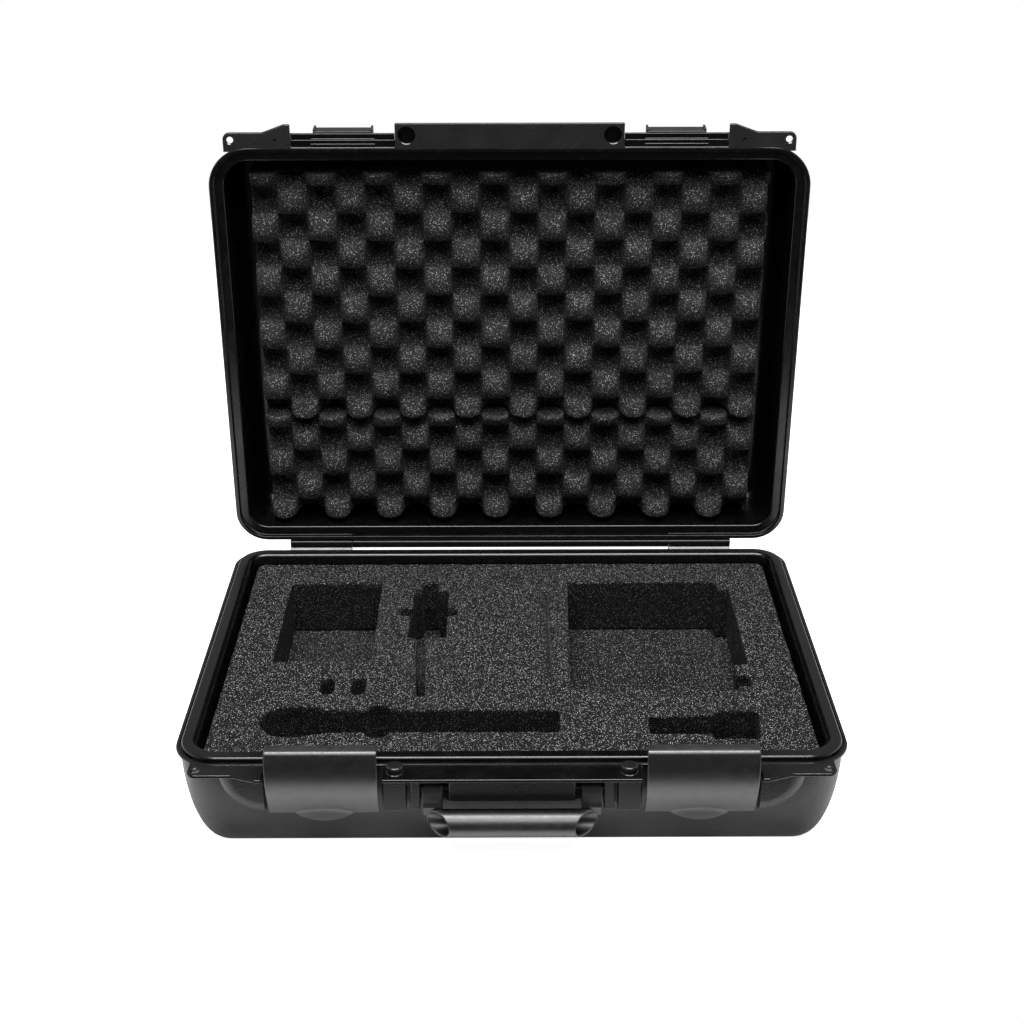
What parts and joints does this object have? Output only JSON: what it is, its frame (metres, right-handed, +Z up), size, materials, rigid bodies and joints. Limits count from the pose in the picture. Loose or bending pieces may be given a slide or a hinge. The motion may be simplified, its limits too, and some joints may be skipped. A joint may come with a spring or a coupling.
{
  "type": "hard equipment carry case",
  "caption": "Moulded hard carry case, open on its rear hinge, with two draw latches, a swing handle, die-cut foam in the base and egg-crate foam in the lid.",
  "frame": {"origin": "middle of the flat underside of the base", "axes": "+X to the right along the case's width, -Y towards the latches and handle, +Z up; the lid stands open at rest"},
  "size_m": [0.5, 0.4541, 0.4724],
  "materials": {
    "shell_black": "fine pebble grain outside, smooth on rims and guards",
    "satin_black": "smooth satin",
    "gloss_black": "gloss",
    "steel": "plain bright",
    "foam_cut": "open-cell foam, cut face with bright cell walls",
    "foam_floor": "open-cell foam, plain sheet",
    "foam_lid": "convoluted open-cell foam"
  },
  "bodies": {
    "base": {"base_shell": "shell_black", "base_foam_cut": "foam_cut", "base_foam_floor": "foam_floor", "hinge_rod": "steel", "locating_stud_left": "gloss_black", "locating_stud_right": "gloss_black", "handle_pin_left": "steel", "handle_pin_right": "steel", "latch_foot_pin_left": "steel", "latch_foot_pin_right": "steel"},
    "lid": {"lid_shell": "shell_black", "lid_foam_upper": "foam_lid", "lid_foam_lower": "foam_lid"},
    "carry_handle": {"handle": "satin_black"},
    "link_left": {"latch_link_left": "shell_black", "latch_head_pin_left": "steel"},
    "link_right": {"latch_link_right": "shell_black", "latch_head_pin_right": "steel"},
    "lever_left": {"latch_lever_left": "satin_black"},
    "lever_right": {"latch_lever_right": "satin_black"}
  },
  "joints": [
    {"name": "lid_hinge", "type": "hinge", "parent": "base", "child": "lid", "pos_m": [0, 0.1885, 0.0815], "axis": [1, 0, 0], "range_deg": [0, 86.4]},
    {"name": "handle_swing", "type": "hinge", "parent": "base", "child": "carry_handle", "pos_m": [0, -0.19, 0.062], "axis": [-1, 0, 0], "range_deg": [0, 90]},
    {"name": "latch_left_swing", "type": "hinge", "parent": "base", "child": "link_left", "pos_m": [-0.1371, -0.1885, 0.052], "axis": [1, 0, 0], "range_deg": [0, 75]},
    {"name": "latch_left_lever", "type": "hinge", "parent": "link_left", "child": "lever_left", "pos_m": [-0.1371, -0.1865, 0.068], "axis": [1, 0, 0], "range_deg": [-37.5, 0]},
    {"name": "latch_right_swing", "type": "hinge", "parent": "base", "child": "link_right", "pos_m": [0.1371, -0.1885, 0.052], "axis": [1, 0, 0], "range_deg": [0, 75]},
    {"name": "latch_right_lever", "type": "hinge", "parent": "link_right", "child": "lever_right", "pos_m": [0.1371, -0.1865, 0.068], "axis": [1, 0, 0], "range_deg": [-37.5, 0]}
  ],
  "couplings": [
    {"joint": "latch_left_lever", "follows": "latch_left_swing", "ratio": -0.5},
    {"joint": "latch_right_lever", "follows": "latch_right_swing", "ratio": -0.5}
  ]
}
